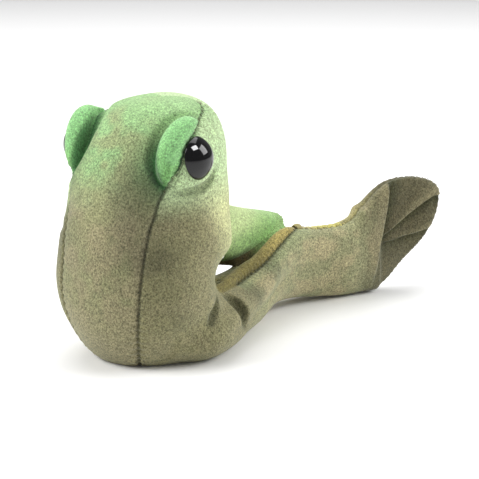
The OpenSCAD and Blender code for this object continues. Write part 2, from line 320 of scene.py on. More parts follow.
def eye_mound(field, side):
    """The rounded cushion of the head that the eye sits on."""
    centre = eye_place(side, 0, 0, -MOUND_ROUND - 0.3)
    patch = Patch(centre[None], MOUND_FLAT + MOUND_ROUND + 6)
    ux, uy, uz = eye_place(side, 0, 0, 1) - eye_place(side, 0, 0, 0)
    px, py, pz = patch.x - centre[0], patch.y - centre[1], patch.z - centre[2]
    out = px * ux + py * uy + pz * uz
    far = np.sqrt(np.maximum(px**2 + py**2 + pz**2 - out**2, 0))
    cushion = np.hypot(np.maximum(far - MOUND_FLAT, 0), out) - MOUND_ROUND
    field[patch.cells] = smooth_min(field[patch.cells], cushion.astype(np.float32), 3.5)


# ---- tail: x, y, centre height, half width, half height, heading, lean

TAIL_ROWS = [
    [-8, -5, 9.5, 16.5, 9, 0, 0],
    [3, -8, 8.6, 21.4, 10.6, -3, 0.1],
    [16, -9, 8.6, 20.8, 10.4, -5, 0.35],
    [30, -9.6, 8.7, 16.4, 10.2, -8, 0.55],
    [43, -10.6, 10.2, 12.6, 11.2, -7, 0.65],
    [55, -12, 14.4, 10.4, 11.8, -9, 0.45],
    [67, -14.2, 16, 9.6, 13.5, -20, 0.3],
    [78, -19, 14.7, 9.2, 13.5, -33, 0.2],
    [88, -26, 14.4, 8.2, 14.2, -37, 0.1],
    [95, -31, 17, 6.4, 16.6, -35, 0],
    [99.5, -34.1, 19.2, 4.8, 18.6, -35, 0],
]
TAIL_ROUND, TAIL_STEPS, TAIL_SIDES = 2.3, 80, 72
tail_line = curve(TAIL_ROWS, TAIL_STEPS)


def tail_field():
    turn = np.linspace(0, 2 * math.pi, TAIL_SIDES, endpoint=False)
    rings = []
    for x, y, z, wide, high, heading, lean in tail_line:
        up = high * power(np.sin(turn), TAIL_ROUND)
        side = wide * power(np.cos(turn), TAIL_ROUND) - lean * np.maximum(up, 0)
        h = math.radians(heading)
        rings.append(np.stack([x - side * math.sin(h), y + side * math.cos(h), z + up], 1))
    return loft_field(np.array(rings))


# ---- fin: places in its own plane, as distance along the fin and height

FIN_AT = np.array([96, -31.6])
FIN_HEADING = math.radians(-35)
FIN_OUTLINE = [
    [-4, 7], [1.6, 1.6], [6, 1.7], [10.4, 4], [15, 8], [24.4, 16.4], [28.8, 22.8], [31.4, 30],
    [31.6, 37], [28, 41.4], [21, 43.6], [14.4, 43.8], [8.2, 42.4], [3.4, 39.2], [-1, 34.6], [-5, 30],
]
# The three folds that meet in a pinch: a line down the fin, and two lines across it
FOLD_DOWN = [[0.6, 1.3], [2, 8.2], [3.2, 13.9], [3.9, 19], [6.2, 27.4], [8.2, 38.6]]
FOLD_UPPER = [[3.9, 19.6], [8, 22.6], [14.8, 27.2], [22.9, 32.8], [27, 35]]
FOLD_LOWER = [[3.9, 19], [10.8, 19.6], [15.2, 20.5], [19.3, 21], [27, 22.6]]


def fin_point(t, side, z):
    """A place near the fin from distance along it, distance to its left and height."""
    c, s = math.cos(FIN_HEADING), math.sin(FIN_HEADING)
    return np.array([FIN_AT[0] + t * c - side * s, FIN_AT[1] + t * s + side * c, z])


def fin_local(x, y):
    """Distance along the fin, and distance to its left."""
    c, s = math.cos(FIN_HEADING), math.sin(FIN_HEADING)
    return (x - FIN_AT[0]) * c + (y - FIN_AT[1]) * s, -(x - FIN_AT[0]) * s + (y - FIN_AT[1]) * c


def outline_distance(px, py, outline):
    """Distance to a closed outline, negative inside."""
    best = np.full(np.broadcast(px, py).shape, 1e9, np.float32)
    inside = np.zeros(best.shape, bool)
    for a, b in zip(outline, np.roll(outline, -1, 0)):
        d = b - a
        t = np.clip(((px - a[0]) * d[0] + (py - a[1]) * d[1]) / (d @ d), 0, 1)
        best = np.minimum(best, (px - a[0] - t * d[0]) ** 2 + (py - a[1] - t * d[1]) ** 2)
        crosses = (a[1] > py) != (b[1] > py)
        if a[1] != b[1]:
            inside ^= crosses & (px < a[0] + (py - a[1]) * d[0] / (b[1] - a[1]))
    return np.where(inside, -1, 1) * np.sqrt(best)


def fin_bow(t, z):
    """How far the fin's middle bows to its left."""
    return 1.2 * np.sin(np.clip(t / 32, 0, 1) * math.pi) * np.cos((z - 20) / 22)


def fin_folds(t, z):
    """How far the fin's right face stands out where it is folded."""
    down = t - along([p[1] for p in FOLD_DOWN], [p[0] for p in FOLD_DOWN], z)
    upper = z - np.interp(t, *np.transpose(FOLD_UPPER))
    lower = z - np.interp(t, *np.transpose(FOLD_LOWER))
    beyond = ramp(down, -0.5, 0.5)
    fade = ramp(t, 4.0, 10.0)
    top = ramp(upper, -0.4, 0.4)
    middle = (1 - top) * ramp(lower, -0.4, 0.4)
    bottom = (1 - top) * (1 - middle)
    shape = top * (1.5 * np.exp(-np.abs(upper) / 4.5) * fade - 2.0 * np.exp(-np.abs(down) / 5))
    shape = shape + middle * (1.1 * np.exp(-np.abs(lower) / 4) * fade - 1.9 * np.exp(-np.abs(upper) / 4))
    shape = shape - bottom * (1.1 * np.exp(-np.abs(lower) / 4.5) + 0.6 * np.exp(-np.abs(down) / 5))
    lip = 1.5 * np.exp(-np.abs(down) / 5) * ramp(z, 2, 14)
    return shape * beyond + lip * (1 - beyond)


def fin_field(field):
    """Adds the fin to the field."""
    reach = itertools.product((-3, 34), (-7, 7), (0, 45))
    patch = Patch(np.array([fin_point(*corner) for corner in reach]), 3)
    t, side = fin_local(patch.x, patch.y)
    edge = outline_distance(t, patch.z, curve(FIN_OUTLINE + FIN_OUTLINE[:1], 70)[:-1])
    half = 1.5 + 2.6 * np.clip(1 - t / 17, 0, 1.2) ** 1.3
    half = half + 1.0 * np.clip(-edge / 6, 0, 1)
    bowed = side - fin_bow(t, patch.z)
    half = half + fin_folds(t, patch.z) * np.where(bowed < 0, 1, 0.2) * ramp(-edge, 0.2, 3.4)
    thick = smooth_max(edge + 0.8, np.abs(bowed) - np.maximum(half, 0.7), 1.8)
    field[patch.cells] = smooth_min(field[patch.cells], thick.astype(np.float32), 2.5)


# ---- sleeve and finger pocket

SLEEVE_ROOT = np.array([28.2, 0, 36.0])
SLEEVE_RIM = np.array([57.8, 0, 25.4])
SLEEVE_ROOT_W, SLEEVE_ROOT_H = 11.4, 11.3
SLEEVE_RIM_W, SLEEVE_RIM_L = 13.4, 20.4
SLEEVE_STEPS, SLEEVE_SIDES = 30, 96
# How much the sleeve narrows at its middle
SLEEVE_NARROW = 0.08
RIM_ROUND = 2.8
SLEEVE_TILT = math.radians(16)
HEM_WIDE = 2.6
POCKET_R = 9.2
POCKET = [[34, 0, 28, POCKET_R], [28, 0, 34, POCKET_R], [7, 0, 60, POCKET_R], [7, 0, 68, POCKET_R]]


def sleeve_rings(inset, start, stop):
    """Rings from the sleeve's root, at 0, to its rim, at 1, each smaller by inset."""
    turn = np.linspace(0, 2 * math.pi, SLEEVE_SIDES, endpoint=False)
    across, rise = np.cos(turn), np.sin(turn)
    rim_across, rim_rise = power(across, RIM_ROUND), power(rise, RIM_ROUND)
    rings = []
    for u in np.linspace(start, stop, SLEEVE_STEPS):
        flare = 1 - SLEEVE_NARROW * math.sin(math.pi * min(max(u, 0), 1))
        wide = (SLEEVE_ROOT_W - inset) * across
        root = SLEEVE_ROOT + np.stack([-0.018 * wide**2, wide, (SLEEVE_ROOT_H - inset) * rise], 1)
        long = (SLEEVE_RIM_L - inset) * rim_rise
        wide = (SLEEVE_RIM_W - inset) * rim_across
        lift = 0.1 * np.maximum(-long - 15, 0)
        rim = np.stack([long * math.cos(SLEEVE_TILT), wide, long * math.sin(SLEEVE_TILT) + lift], 1)
        middle = SLEEVE_ROOT + (SLEEVE_RIM - SLEEVE_ROOT) * u
        rings.append(middle + (root + (rim + SLEEVE_RIM - root) * u - middle) * flare)
    return np.array(rings)


def rim_height(x, z):
    """Distance from the plane of the sleeve's rim, back towards the body."""
    return (SLEEVE_RIM[0] - x) * math.sin(SLEEVE_TILT) - (SLEEVE_RIM[2] - z) * math.cos(SLEEVE_TILT)


# ---- rolled hem along the ridge of the tail: x, y, z, radius

HEM_ROLL = [
    [17, -18.2, 18.8, 2.2], [25, -17.4, 19.4, 2.4], [32, -16.8, 20, 2.5], [37, -16.8, 21, 2.5],
    [43, -17.4, 22.2, 2.5], [50, -17.6, 24.8, 2.5], [57, -17.6, 27.4, 2.4], [63, -17.8, 28.7, 1.9],
    [68, -18.4, 28.5, 0.9],
]

# Creases where the right flank meets the tail
FLANK_SLIT = [
    [9.5, -25.6, 22, 1.4], [6, -26.6, 20.2, 1.7], [3.2, -27, 17.6, 1.7], [0.2, -27.2, 14.4, 0.8],
]
ROOT_DENT = [
    [17.2, -23.4, 18.4, 1.8], [17, -26.8, 15.2, 2.8], [17.6, -29, 12, 2.8], [19.4, -29.2, 8.4, 1.2],
]
# The tuck under the right flank, above the tail
FLANK_TUCK = [[10, -36, 27.2, 11.5], [26.5, -25.4, 21.8, 11.5], [38, -18, 18, 11.5]]
# The crease across the left side
LEFT_CREASE = [[-16, 20, 43, 0.6], [-9, 26.4, 41.6, 1.6], [0, 29.2, 41, 1.6], [9, 28, 42.5, 0.6]]
# Radius of the rounding where the tail and the sleeve join the body
JOIN_SOFT = 3.0
# Height of the cloth's underside over the floor
FLOOR_GAP = 0.15


def build_fields():
    """The whole surface, and the shapes that tell its pieces apart."""
    torso = body_field()
    for side in (-1, 1):
        eye_mound(torso, side)
        press(torso, round_eye(side, LID_GROOVE), 1.8)
        add(torso, round_eye(side, LID), 0.7)
        press(torso, round_eye(side, BAG_CREASE), 1.2)
    press(torso, FLANK_TUCK, 3.0)
    press(torso, LEFT_CREASE, 2.0)
    field = smooth_min(torso, tail_field(), JOIN_SOFT)
    press(field, FLANK_SLIT, 0.8)
    press(field, ROOT_DENT, 1.8)
    fin_field(field)
    add(field, HEM_ROLL, 0.5, 40)
    sleeve = loft_field(sleeve_rings(0, -0.3, 1))
    field = smooth_min(field, sleeve, JOIN_SOFT)
    inner = loft_field(sleeve_rings(SKIN, -0.2, 1.1))
    field = smooth_max(field, -inner, 0.8)
    press(field, POCKET, 0.6, 12)
    field = np.maximum(field, FLOOR_GAP - Z).astype(np.float32)
    return field, torso, sleeve, inner


def surface(field, voxel=VOXEL):
    """Points and quads of the surface where a field is zero."""
    grid = vdb.FloatGrid(voxel * 4)
    grid.copyFromArray(np.ascontiguousarray(field))
    grid.gridClass = vdb.GridClass.LEVEL_SET
    points, quads = grid.convertToQuads(0.0)
    return points.astype(float) * voxel + GRID_LOW, quads.astype(int)[:, ::-1]


def between(values, low, t):
    """Values inside cells: low is each cell's first corner, and t the place in it from 0 to 1."""
    value = 0
    for corner in itertools.product((0, 1), repeat=3):
        weight = np.prod(np.where(corner, t, 1 - t), 1)
        value = value + weight * values[tuple((low + corner).T)]
    return value


def sample(field, points):
    """Values of a field at points."""
    at = np.clip((points - GRID_LOW) / VOXEL, 0, np.array(GRID_SHAPE) - 1.001)
    low = at.astype(int)
    return between(field, low, at - low)


# ---- where the cloth is cut: each function is zero along a cut

SEAM_HEIGHTS = [0, 18, 31, 42, 46, 51, 56, 61, 65.5, 69.7, 72.5, 74.7, 76, 78, 80.5, 84]
SEAM_ANGLES = [34, 34, 35.5, 36.9, 37.8, 40.9, 44.3, 50.6, 54.2, 56.4, 60, 67.5, 77, 86, 110, 145]
BELLY_HEIGHTS = [0, 58, 67, 75, 81]
BELLY_ANGLES = [136, 136, 132, 126, 120]
STRIP_WIDE = 4.2
# Where the tail leaves the body, and how far that cut leans back above its knee
ROOT_X, ROOT_KNEE, ROOT_LEAN = 25, 15, 0.7
# A point on the cut across the tail, and the direction of the tail there
TIP_AT, TIP_AHEAD = (50, -11.4), (0.99, -0.14)
# How far behind the fin's own corner its cut is
FIN_BACK = 11
# How much closer to the middle the edge of the seat panel is for each millimetre that it is higher
SEAT_SLOPE = 3


def body_turn(p):
    """Angle round the body from the middle of the back, and the distance from its axis."""
    x = p[:, 0] - centre_x(p[:, 2])
    return np.degrees(np.arctan2(np.abs(p[:, 1]), -x)), np.hypot(x, p[:, 1])


def cut_back(p):
    turn, far = body_turn(p)
    return np.radians(turn - along(SEAM_HEIGHTS, SEAM_ANGLES, p[:, 2])) * far


def cut_belly(p):
    turn, far = body_turn(p)
    return np.radians(turn - along(BELLY_HEIGHTS, BELLY_ANGLES, p[:, 2])) * far


def cut_tail(p):
    """Distance to the left of the tail's ridge and keel."""
    near = np.argmin((p[:, :1] - tail_line[:, 0]) ** 2 + (p[:, 1:2] - tail_line[:, 1]) ** 2, 1)
    x, y, z, _, _, heading, lean = tail_line[near].T
    h = np.radians(heading)
    side = -(p[:, 0] - x) * np.sin(h) + (p[:, 1] - y) * np.cos(h) + lean * np.maximum(p[:, 2] - z, 0)
    side = side + 1.3 * ramp(p[:, 0], 62, 76) * ramp(p[:, 2] - z, 2, 8)
    t, across = fin_local(p[:, 0], p[:, 1])
    on_fin = ramp(t, -8, 2)
    return side * (1 - on_fin) + (across - fin_bow(t, p[:, 2])) * on_fin


def past_root(x, z):
    """Distance past the cut where the tail leaves the body."""
    return x - ROOT_X - ROOT_LEAN * np.maximum(z - ROOT_KNEE, 0)


def past_tip(x, y):
    """Distance past the cut across the tail."""
    return (x - TIP_AT[0]) * TIP_AHEAD[0] + (y - TIP_AT[1]) * TIP_AHEAD[1]


def past_fin(x, y):
    """Distance past the cut in front of the fin."""
    return fin_local(x, y)[0] + FIN_BACK


def cut_root(p):
    return past_root(p[:, 0], p[:, 2])


def cut_tip(p):
    return past_tip(p[:, 0], p[:, 1])


def cut_fin(p):
    return past_fin(p[:, 0], p[:, 1])


def cut_strip(p):
    return cut_tail(p) - STRIP_WIDE


def cut_seat(p):
    return np.hypot(p[:, 0], p[:, 1]) + SEAT_SLOPE * p[:, 2] - SEAT_R


# Places where the cloth bends at a joint: the two bodies, and where the bend starts and ends
BENDS = {
    "torso": ("body", "head", (0, 0, 46), (0, 0, 60)),
    "sleeve": ("body", "sleeve", (32, 0, 34), (46, 0, 30)),
    "root": ("body", "tail_root", (28, -8, 10), (44, -10.5, 10)),
    "tip": ("tail_root", "tail_tip", (58, -12.3, 10), (74, -17.5, 10)),
    "fin": ("tail_tip", "fin", (93, -29.5, 20), (106, -39, 20)),
}

# Each piece of cloth: where it bends, its material slot, and the CAD nodes that it stands for
CLOTH = {
    "back_skin": ("torso", "back_plush", ["back_panel", "crown_panel"]),
    "right_side_skin": ("torso", "side_plush", ["right_flank", "right_cheek"]),
    "left_side_skin": ("torso", "side_plush", ["left_flank", "left_cheek"]),
    "belly_skin": ("torso", "belly_plush", ["belly_panel", "throat_panel"]),
    "seat_skin": ("torso", "side_plush", ["seat_panel"]),
    "right_eyelid_skin": ("torso", "green_plush", ["right_eyelid"]),
    "left_eyelid_skin": ("torso", "green_plush", ["left_eyelid"]),
    "pocket_lining": ("torso", "lining", ["lower_pocket", "upper_pocket"]),
    "sleeve_skin": ("sleeve", "green_plush", ["finger_sleeve"]),
    "sleeve_hem_skin": ("sleeve", "hem_plush", ["sleeve_hem"]),
    "sleeve_lining_skin": ("sleeve", "lining", ["sleeve_lining"]),
    "tail_root_right_skin": ("root", "side_plush", ["tail_root_right_panel"]),
    "tail_root_left_skin": ("root", "side_plush", ["tail_root_left_panel"]),
    "tail_root_strip": ("root", "belly_plush", ["tail_root_top_strip"]),
    "hem_roll": ("root", "hem_plush", ["tail_hem_roll"]),
    "hem_roll_end": ("tip", "hem_plush", []),
    "tail_tip_right_skin": ("tip", "side_plush", ["tail_tip_right_panel"]),
    "tail_tip_left_skin": ("tip", "side_plush", ["tail_tip_left_panel"]),
    "tail_tip_strip": ("tip", "belly_plush", ["tail_tip_top_strip"]),
    "fin_right_skin": ("fin", "side_plush", ["fin_right_face"]),
    "fin_left_skin": ("fin", "belly_plush", ["fin_left_face"]),
}
NAMES = list(CLOTH)
# Each filling: where it bends, the CAD nodes that it stands for, and how full it is
FILLINGS = {
    "body_filling": ("torso", ["body_stuffing", "head_stuffing"], 0.8),
    "tail_root_filling": ("root", ["tail_root_stuffing"], 0.8),
    "tail_tip_filling": ("tip", ["tail_tip_stuffing"], 0.8),
    "fin_filling": ("fin", ["fin_core"], 0.3),
}
# Places from which the surface can be sleeve or pocket
SLEEVE_FROM_X, SLEEVE_FROM_Z = 22, 19
POCKET_FROM_X, POCKET_FROM_Z = 15, 20


class Shapes:
    """The fields, and what they say about places on the surface."""

    def __init__(self):
        self.field, self.torso, self.sleeve, self.inner = build_fields()
        self.lid = curve(round_eye(1, LID), 40)
        self.roll = curve(HEM_ROLL, 40)

    def cut_lid(self, p):
        return rope(p[:, 0], np.abs(p[:, 1]), p[:, 2], self.lid) - 0.5

    def cut_roll(self, p):
        return rope(*p.T, self.roll) - 0.15

    def cut_sleeve(self, p):
        return sample(self.torso, p) - 1.6

    def cut_hem(self, p):
        return rim_height(p[:, 0], p[:, 2]) - HEM_WIDE

    def cut_inside(self, p):
        """Positive on the outside of the sleeve, negative inside it."""
        return sample(self.inner, p) - SKIN / 2

    def cut_pocket(self, p):
        """Positive in the cloth, negative in the finger pocket."""
        return rope(*p.T, curve(POCKET, 12)) - SKIN / 2

    def names_at(self, p):
        """The number of the piece of cloth at each place."""
        n = {name: i for i, name in enumerate(NAMES)}
        right = p[:, 1] < 0
        side = np.where(right, n["right_side_skin"], n["left_side_skin"])
        lid = np.where(right, n["right_eyelid_skin"], n["left_eyelid_skin"])
        torso = np.where(cut_back(p) < 0, n["back_skin"], side)
        torso = np.where((cut_back(p) < 0) & (self.cut_lid(p) < 0), lid, torso)
        on_torso = sample(self.torso, p) < 0.9
        torso = np.where((cut_belly(p) > 0) & (on_torso | (p[:, 1] > 0)), n["belly_skin"], torso)
        torso = np.where(cut_seat(p) < 0, n["seat_skin"], torso)

        left, across = cut_tail(p), cut_strip(p)
        line = along(tail_line[:, 0], tail_line[:, 2], p[:, 0])
        on_top = (p[:, 2] > line) & (left > 0) & (across < 0)
        tip, fin = cut_tip(p) > 0, cut_fin(p) > 0
        root = np.where(left < 0, n["tail_root_right_skin"], n["tail_root_left_skin"])
        root = np.where(on_top, n["tail_root_strip"], root)
        end = np.where(left < 0, n["tail_tip_right_skin"], n["tail_tip_left_skin"])
        end = np.where(on_top, n["tail_tip_strip"], end)
        tail = np.where(tip, end, root)
        tail = np.where(fin, np.where(left < 0, n["fin_right_skin"], n["fin_left_skin"]), tail)
        on_roll = (self.cut_roll(p) < 0) & ~fin
        tail = np.where(on_roll, np.where(tip, n["hem_roll_end"], n["hem_roll"]), tail)
        result = np.where(cut_root(p) > 0, tail, torso)

        past_body = self.cut_sleeve(p) > 0
        near_sleeve = (sample(self.sleeve, p) < 1.2) & past_body & (p[:, 0] > SLEEVE_FROM_X)
        near_sleeve &= p[:, 2] > SLEEVE_FROM_Z
        inside = self.cut_inside(p) < 0
        hem = self.cut_hem(p) < 0
        cloth = np.where(inside, n["sleeve_lining_skin"], n["sleeve_skin"])
        cloth = np.where(hem, n["sleeve_hem_skin"], cloth)
        result = np.where(near_sleeve, cloth, result)
        in_pocket = (self.cut_pocket(p) < 0) | (inside & (p[:, 0] > POCKET_FROM_X))
        in_pocket &= ~past_body & (p[:, 2] > POCKET_FROM_Z)
        return np.where(in_pocket, n["pocket_lining"], result)


def normals_of(points, faces):
    a, b, c = (points[faces[:, i]] for i in range(3))
    flat = np.cross(b - a, c - a)
    total = np.zeros_like(points)
    for i in range(3):
        for axis in range(3):
            total[:, axis] += np.bincount(faces[:, i], flat[:, axis], len(points))
    return total / np.maximum(np.linalg.norm(total, axis=1, keepdims=True), 1e-12)


# How far from a cut its points may be, and how far they may slide, as parts of a grid step
SNAP_REACH, SNAP_SLIDE = 1.6, 0.56


def snap(points, normals, cut):
    """Slides the points nearest to a cut along the surface onto it."""
    value = cut(points)
    near = np.abs(value) < SNAP_REACH * VOXEL
    p, n, v = points[near], normals[near], value[near]
    step = 0.05
    slope = np.stack([cut(p + step * axis) - v for axis in np.eye(3)], 1) / step
    slope -= n * np.sum(slope * n, 1, keepdims=True)
    size = np.sum(slope * slope, 1)
    move = -slope * (v / np.maximum(size, 1e-6))[:, None]
    good = (np.linalg.norm(move, axis=1) < SNAP_SLIDE * VOXEL) & (size > 0.05)
    moved = points.copy()
    moved[np.flatnonzero(near)[good]] += move[good]
    return moved


def split_quads(points, quads, nearness):
    """Triangles whose diagonals follow the cuts."""
    score = nearness[quads]
    length = [np.linalg.norm(points[quads[:, i]] - points[quads[:, i + 2]], axis=1) for i in (0, 1)]
    first = score[:, 0] + score[:, 2] + 0.05 * length[0]
    second = score[:, 1] + score[:, 3] + 0.05 * length[1]
    a, b, c, d = quads.T
    use = (first <= second)[:, None]
    one = np.where(use, np.stack([a, b, c], 1), np.stack([b, c, d], 1))
    two = np.where(use, np.stack([a, c, d], 1), np.stack([b, d, a], 1))
    return np.concatenate([one, two])


def walk(edges):
    """Joins edges into lines of points, the longest first."""
    links = {}
    for a, b in edges:
        links.setdefault(a, []).append(b)
        links.setdefault(b, []).append(a)
    used = set()
    lines = []
    for start in sorted(links, key=lambda k: (len(links[k]) == 2, k)):
        for first in links[start]:
            if (start, first) in used:
                continue
            line = [start, first]
            used.update([(start, first), (first, start)])
            while len(links[line[-1]]) == 2:
                ahead = [k for k in links[line[-1]] if (line[-1], k) not in used]
                if not ahead:
                    break
                used.update([(line[-1], ahead[0]), (ahead[0], line[-1])])
                line.append(ahead[0])
            lines.append(line)
    return sorted(lines, key=len, reverse=True)


def even(line, pitch):
    """Points at an even pitch along a line, after smoothing it."""
    kernel = np.array([1, 2, 3, 2, 1]) / 9
    padded = np.concatenate([line[:1]] * 2 + [line] + [line[-1:]] * 2)
    smooth = np.stack([np.convolve(padded[:, i], kernel, "valid") for i in range(3)], 1)
    run = np.concatenate([[0], np.cumsum(np.linalg.norm(np.diff(smooth, axis=0), axis=1))])
    count = max(int(run[-1] / pitch), 1)
    at = np.linspace(0, run[-1], count + 1)
    return np.stack([np.interp(at, run, smooth[:, i]) for i in range(3)], 1), run[-1] / count


# Sewn edges: which pieces meet, depth and width of the valley, depth of its puckers, stitch pitch
SEAMS = [
    (("back_skin", "side"), 0.75, 0.7, 0.26, 2.7),
    (("eyelid", "side"), 0.8, 0.8, 0.3, 2.3),
    (("belly_skin", "side"), 0.55, 0.8, 0.16, 2.7),
    (("seat_skin", "any"), 0.4, 0.7, 0.1, 2.7),
    (("tail_right", "strip"), 0.55, 0.7, 0.28, 2.6),
    (("tail_left", "strip"), 0.5, 0.7, 0.18, 2.6),
    (("tail_right", "tail_left"), 0.55, 0.7, 0.18, 2.6),
    (("fin_right_skin", "fin_left_skin"), 0.35, 0.8, 0.14, 2.4),
    (("sleeve_skin", "torso"), 0.7, 0.9, 0.2, 2.6),
    (("roll", "tail"), 0.35, 0.5, 0.12, 2.0),
]
GROUPS = {
    "side": ["right_side_skin", "left_side_skin"],
    "eyelid": ["right_eyelid_skin", "left_eyelid_skin"],
    "any": ["back_skin", "right_side_skin", "left_side_skin", "belly_skin"],
    "tail_right": ["tail_root_right_skin", "tail_tip_right_skin"],
    "tail_left": ["tail_root_left_skin", "tail_tip_left_skin"],
    "strip": ["tail_root_strip", "tail_tip_strip"],
    "roll": ["hem_roll", "hem_roll_end"],
    "tail": ["tail_root_right_skin", "tail_tip_right_skin", "tail_root_left_skin",
             "tail_tip_left_skin", "tail_root_strip", "tail_tip_strip"],
    "torso": ["belly_skin", "right_side_skin", "left_side_skin"],
}


def members(name):
    return [NAMES.index(n) for n in GROUPS.get(name, [name])]


def shared_edges(faces):
    """The edges that two triangles share: their points, and the two triangles."""
    pairs = np.sort(faces[:, [0, 1, 1, 2, 2, 0]].reshape(-1, 2), 1)
    order = np.lexsort((pairs[:, 1], pairs[:, 0]))
    face = np.repeat(np.arange(len(faces)), 3)[order]
    pairs = pairs[order]
    same = np.flatnonzero(np.all(pairs[:-1] == pairs[1:], 1))
    return pairs[same], face[same], face[same + 1]


def seam_edges(faces, labels, left, right):
    """Edges between the pieces in one group and the pieces in another."""
    edges, here, there = shared_edges(faces)
    one, two = labels[here], labels[there]
    a, b = members(left), members(right)
    hit = (np.isin(one, a) & np.isin(two, b)) | (np.isin(one, b) & np.isin(two, a))
    return edges[hit & (one != two)]


def nearest(points, line, reach):
    """For each point near a line: its number, its distance and how far along the line it is."""
    near = np.flatnonzero(np.all((points > line.min(0) - reach) & (points < line.max(0) + reach), 1))
    hits = [[], [], []]
    for part in np.array_split(near, max(len(near) // 4000, 1)):
        gap = np.linalg.norm(points[part][:, None] - line[None], axis=2)
        best = gap.argmin(1)
        far = gap[np.arange(len(part)), best]
        keep = far < reach
        for store, value in zip(hits, (part[keep], far[keep], best[keep])):
            store.append(value)
    return [np.concatenate(h) for h in hits]


# Step of the lines that seams are measured along, and how far from them the cloth is drawn in
FINE, SEAM_REACH = 0.3, 4.5
# Shortest seam worth sewing, in points
SHORTEST = 12
# The wide dip of the cloth beside a seam, and the widths of its puckers at the sides and at the middle
DIP_DEPTH, DIP_WIDE = 0.22, 2.4
PUCKER_WIDE, PUCKER_CORE = 2.2, 0.6
THREAD_R = 0.11
# A stitch, as places across the seam, above it and along it
STITCH = [(-0.62, 0.02, -0.2), (-0.3, 0.2, -0.1), (0.3, 0.2, 0.1), (0.62, 0.02, 0.2)]


class Cloth:
    """The whole skin as one mesh, cut into pieces along its seams."""

    def __init__(self, shapes):
        self.shapes = shapes
        points, quads = surface(shapes.field)
        rough = np.concatenate([quads[:, :3], quads[:, [0, 2, 3]]])
        normals = normals_of(points, rough)
        cuts = [cut_root, cut_tip, cut_fin, cut_strip, cut_tail, cut_belly, cut_back, cut_seat,
                shapes.cut_lid, shapes.cut_roll, shapes.cut_hem, shapes.cut_inside, shapes.cut_sleeve]
        nearness = np.full(len(points), 4 * VOXEL)
        for cut in cuts:
            points = snap(points, normals, cut)
        for cut in cuts:
            nearness = np.minimum(nearness, np.abs(cut(points)))
        self.faces = split_quads(points, quads, nearness)
        self.points = points
        self.labels = shapes.names_at(points[self.faces].mean(1))
        self.tidy_labels()
        self.stitches = {zone: [] for zone in BENDS}
        # How much painted shade each point gets from its seams.
        self.dark = np.zeros(len(points))
        self.sew()
        self.normals = normals_of(self.points, self.faces)

    def tidy_labels(self):
        """Gives lone triangles to the piece that surrounds them."""
        _, a, b = shared_edges(self.faces)
        for _ in range(3):
            votes = np.zeros((len(self.faces), len(NAMES)), np.int8)
            np.add.at(votes, (a, self.labels[b]), 1)
            np.add.at(votes, (b, self.labels[a]), 1)
            own = votes[np.arange(len(self.faces)), self.labels]
            lone = (own <= 1) & (votes.max(1) >= 2)
            self.labels = np.where(lone, votes.argmax(1), self.labels)

    def sew(self):
        """Draws each seam in: a valley, puckers at the stitches, and thread in it."""
        normals = normals_of(self.points, self.faces)
        shift = np.zeros(len(self.points))
        for (left, right), depth, wide, pucker, pitch in SEAMS:
            for chain in walk(seam_edges(self.faces, self.labels, left, right)):
                if len(chain) < SHORTEST:
                    continue
                line, step = even(self.points[chain], FINE)
                hit, far, best = nearest(self.points, line, SEAM_REACH)
                phase = np.cos(2 * math.pi * best * step / pitch)
                valley = np.exp(-((far / wide) ** 2))
                ripple = np.exp(-((far / PUCKER_WIDE) ** 2)) - 0.5 * np.exp(-((far / PUCKER_CORE) ** 2))
                dip = DIP_DEPTH * np.exp(-((far / DIP_WIDE) ** 2))
                pull = -depth * valley - dip + pucker * ripple * phase
                stronger = np.abs(pull) > np.abs(shift[hit])
                shift[hit[stronger]] = pull[stronger]
                # Painted shade in the seam's valley, varying with the puckers.
                shade = valley * (0.8 + 0.2 * phase) * min(depth / 0.5, 1)
                self.dark[hit] = np.maximum(self.dark[hit], shade)
                self.thread(chain, line, step, normals, depth, pitch)
        self.points = self.points + normals * shift[:, None]

    def thread(self, chain, line, step, normals, depth, pitch):
        """Places a stitch across the seam at every pitch."""
        every = max(int(round(pitch / step)), 1)
        for i in range(every // 2, len(line) - 2, every):
            ahead = line[min(i + 2, len(line) - 1)] - line[max(i - 2, 0)]
            at = chain[int(np.argmin(np.linalg.norm(self.points[chain] - line[i], axis=1)))]
            up = normals[at]
            ahead = ahead / max(np.linalg.norm(ahead), 1e-9)
            across = np.cross(up, ahead)
            spots = [line[i] + across * a + up * (h - depth) + ahead * lean for a, h, lean in STITCH]
            self.stitches[zone_at(line[i])].append(np.array(spots))


# The space that the sleeve takes up, and where its seam to the body begins
SLEEVE_SPACE = np.array([[*SLEEVE_ROOT, 12], [*SLEEVE_RIM, 13]])
SLEEVE_SEAM_X, SLEEVE_SEAM_Z = 31.5, 20
# Everything over this height is body or sleeve, as far as the fin
OVER_TAIL, BEFORE_FIN = 34, 60


def zone_at(place):
    """Which bend zone the cloth at a place belongs to."""
    p = np.asarray(place, float)[None]
    x, _, z = p[0]
    if cut_root(p)[0] < 0 or (z > OVER_TAIL and x < BEFORE_FIN):
        return "sleeve" if x > SLEEVE_SEAM_X and z > SLEEVE_SEAM_Z else "torso"
    if rope(*p[0], SLEEVE_SPACE) < 0 and rim_height(x, z) > -1:
        return "sleeve"
    if cut_fin(p)[0] > 0:
        return "fin"
    return "tip" if cut_tip(p)[0] > 0 else "root"


# ---- paint, as the cloth is dyed and airbrushed, with painted shade and painted light

# Colours are noted as they look under the studio's light; the dye itself is darker.
DYE = 0.8


def srgb(r, g, b):
    c = np.array([r, g, b]) / 255
    return DYE * np.where(c <= 0.04045, c / 12.92, ((c + 0.055) / 1.055) ** 2.4)


